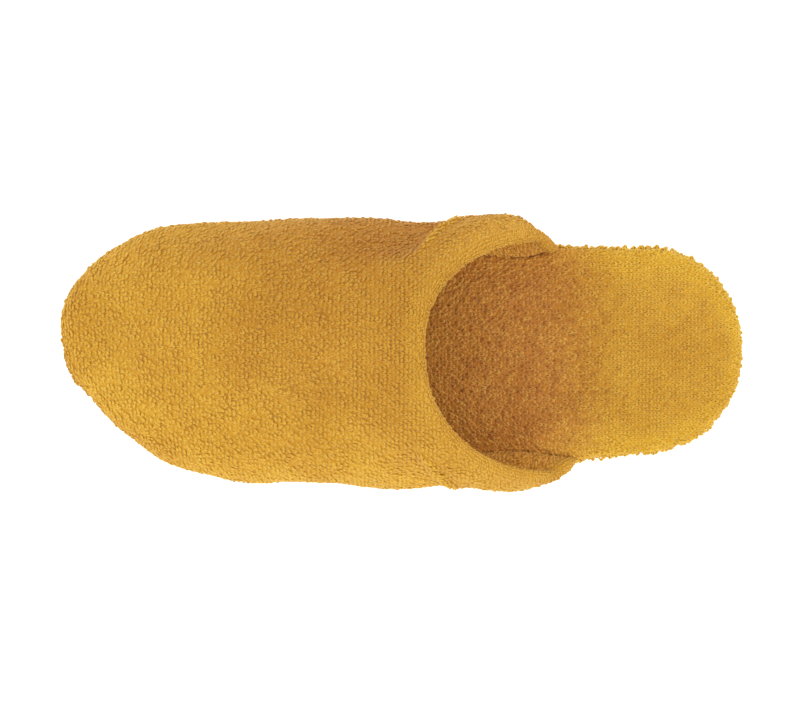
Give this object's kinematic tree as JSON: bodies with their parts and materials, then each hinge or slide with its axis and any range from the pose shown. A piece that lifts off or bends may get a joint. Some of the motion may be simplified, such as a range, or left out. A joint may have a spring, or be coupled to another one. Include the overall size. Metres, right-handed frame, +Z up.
{
  "type": "terry mule slipper",
  "caption": "Soft terry mule slipper for a left foot: closed toe, low open back, a padded terry footbed and a thin plain walking sole.",
  "frame": {"origin": "on the floor, under the middle of the box around the slipper", "axes": "+X to the toe, +Y to the outer side of the foot, +Z up"},
  "size_m": [0.26, 0.1047, 0.0622],
  "materials": {
    "terry_upper": "looped mustard terry, matt",
    "terry_insole": "short looped mustard terry with a fine grid, matt",
    "terry_edge": "looped mustard terry, matt",
    "walking_sole": "plain, fine grain, matt"
  },
  "bodies": {
    "root": {"upper": "terry_upper", "insole": "terry_insole", "sole": "terry_edge", "outsole": "walking_sole"}
  },
  "joints": []
}
